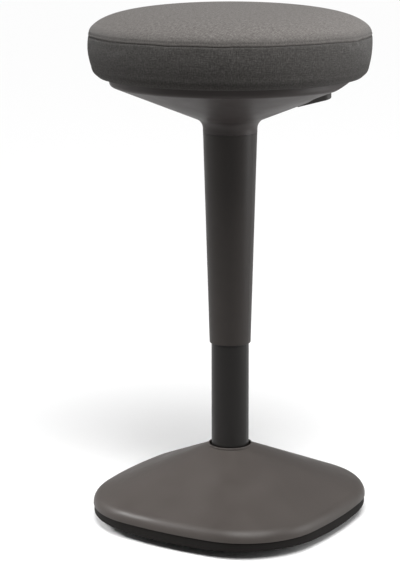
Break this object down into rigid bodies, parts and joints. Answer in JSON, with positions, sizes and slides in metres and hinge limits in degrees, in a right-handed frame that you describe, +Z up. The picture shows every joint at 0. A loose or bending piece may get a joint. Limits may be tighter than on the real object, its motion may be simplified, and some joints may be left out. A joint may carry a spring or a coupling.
{
  "type": "wobble stool",
  "caption": "Height-adjustable wobble stool: round upholstered seat on a tapered gas-lift column over a weighted, rounded-square rocking foot, with a lift lever under the seat.",
  "frame": {"origin": "on the floor, on the axis of the column, with the foot standing level", "axes": "+Z up along the column; +X and +Y square to the flat sides of the foot; the lift lever points halfway between +X and +Y"},
  "size_m": [0.3676, 0.3676, 0.6853],
  "materials": {
    "pad_rubber": "matte",
    "cast_weight": "matte",
    "plain_steel": "satin",
    "ground_steel": "polished",
    "zinc_screws": "satin",
    "dome_plastic": "satin",
    "tube_lacquer": "satin",
    "cylinder_lacquer": "satin",
    "plate_lacquer": "satin",
    "bush_plastic": "matte",
    "piston_aluminium": "satin",
    "bump_rubber": "matte",
    "sleeve_plastic": "satin",
    "shell_plastic": "satin",
    "paddle_plastic": "satin",
    "birch_ply": "matte",
    "seat_foam": "matte",
    "cover_fabric": "matte"
  },
  "bodies": {
    "base": {"base_pad": "pad_rubber", "base_weight": "cast_weight", "hub_socket": "plain_steel", "base_shell": "dome_plastic", "dome_screws": "zinc_screws", "column_tube": "tube_lacquer", "guide_bush": "bush_plastic", "bearing_race_lower": "plain_steel", "bearing_balls": "ground_steel"},
    "rod": {"piston_rod": "ground_steel", "piston": "piston_aluminium", "bearing_race_upper": "plain_steel", "bump_stop": "bump_rubber", "rod_washer": "plain_steel", "rod_clip": "plain_steel"},
    "seat": {"gas_cylinder": "cylinder_lacquer", "cylinder_seal": "bush_plastic", "column_sleeve": "sleeve_plastic", "taper_socket": "plate_lacquer", "mechanism_bracket": "plate_lacquer", "seat_plate": "plate_lacquer", "seat_bolts": "zinc_screws", "tee_nuts": "zinc_screws", "lever_pin": "plain_steel", "seat_board": "birch_ply", "seat_foam": "seat_foam", "cover_top": "cover_fabric", "cover_band": "cover_fabric", "seat_shell": "shell_plastic", "shell_clips": "bush_plastic"},
    "lever": {"lever_rod": "ground_steel", "lever_paddle": "paddle_plastic"},
    "valve": {"valve_pin": "ground_steel"}
  },
  "joints": [
    {"name": "seat_swivel", "type": "hinge", "parent": "base", "child": "rod", "pos_m": [0, 0, 0.0245], "axis": [0, 0, 1], "continuous": true},
    {"name": "seat_height", "type": "slide", "parent": "rod", "child": "seat", "axis": [0, 0, 1], "range_m": [-0.085, 0.145]},
    {"name": "lever_lift", "type": "hinge", "parent": "seat", "child": "lever", "pos_m": [0.02263, 0.02263, 0.5755], "axis": [0.7071, -0.7071, 0], "range_deg": [0, 5.4], "stiffness_Nm_per_rad": 15, "springref_deg": -1.72},
    {"name": "valve_press", "type": "slide", "parent": "seat", "child": "valve", "axis": [0, 0, -1], "range_m": [0, 0.003]}
  ],
  "couplings": [
    {"joint": "valve_press", "follows": "lever_lift", "m_per_rad": 0.0318}
  ]
}
